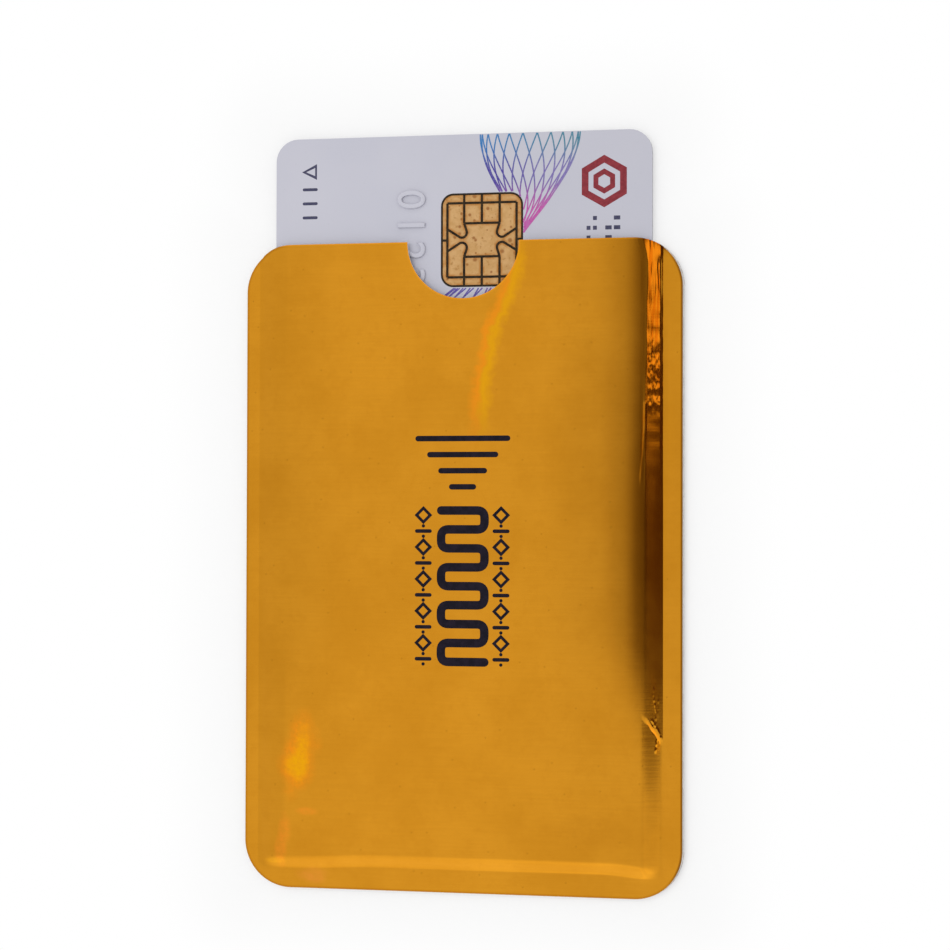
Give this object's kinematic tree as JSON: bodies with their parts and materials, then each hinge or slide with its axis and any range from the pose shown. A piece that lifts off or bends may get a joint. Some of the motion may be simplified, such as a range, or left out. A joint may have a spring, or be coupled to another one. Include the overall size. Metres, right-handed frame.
{
  "type": "rfid blocking card holder",
  "caption": "Gold laminated foil card sleeve with a thumb notch in its mouth, and a contactless chip card that slides in and out of it.",
  "frame": {"origin": "the middle of the flat of the sleeve's back, on the surface that the sleeve lies on", "axes": "+X to the right seen from the front, +Y along the sleeve towards its mouth, +Z out of the front"},
  "size_m": [0.0626, 0.1061, 0.0021],
  "materials": {
    "gold_film": "metallised gold film, satin, with a fine brushed grain across the sleeve",
    "shield_foil": "bare aluminium foil, the shielding layer",
    "liner_paper": "uncoated off-white paper liner",
    "seal_glue": "set heat-seal adhesive",
    "card_face": "satin lavender grey laminate with printed line work",
    "card_back": "satin light grey laminate",
    "card_core": "white core sheet, matt cut edge",
    "antenna_copper": "enamelled copper wire",
    "carrier_tape": "dark glass-fibre tape",
    "chip_resin": "black moulding resin",
    "chip_silicon": "polished silicon",
    "contact_gold": "worn gold plating with brown specks",
    "stripe_black": "glossy black-brown magnetic stripe",
    "signature_white": "matt writable panel"
  },
  "bodies": {
    "sleeve": {"front_film": "gold_film", "front_foil": "shield_foil", "front_paper": "liner_paper", "back_film": "gold_film", "back_foil": "shield_foil", "back_paper": "liner_paper", "edge_seal": "seal_glue"},
    "card": {"card_front_overlay": "card_face", "card_front_core": "card_core", "card_inlay": "card_core", "card_back_core": "card_core", "card_back_overlay": "card_back", "antenna_coil": "antenna_copper", "chip_carrier_tape": "carrier_tape", "chip_encapsulation": "chip_resin", "chip_die": "chip_silicon", "magnetic_stripe": "stripe_black", "signature_panel": "signature_white", "contact_centre": "contact_gold", "contact_pad_upper_left_inner": "contact_gold", "contact_pad_upper_left_outer": "contact_gold", "contact_pad_upper_right_inner": "contact_gold", "contact_pad_upper_right_outer": "contact_gold", "contact_pad_lower_left_inner": "contact_gold", "contact_pad_lower_left_outer": "contact_gold", "contact_pad_lower_right_inner": "contact_gold", "contact_pad_lower_right_outer": "contact_gold", "contact_corner_strip_upper_left": "contact_gold", "contact_corner_strip_upper_right": "contact_gold", "contact_corner_strip_lower_left": "contact_gold", "contact_corner_strip_lower_right": "contact_gold", "contact_end_strip_upper_left": "contact_gold", "contact_end_strip_upper_right": "contact_gold", "contact_end_strip_lower_left": "contact_gold", "contact_end_strip_lower_right": "contact_gold"}
  },
  "joints": [
    {"name": "card_slide", "type": "slide", "parent": "sleeve", "child": "card", "axis": [0, 1, 0], "range_m": [-0.0154, 0.072]}
  ]
}
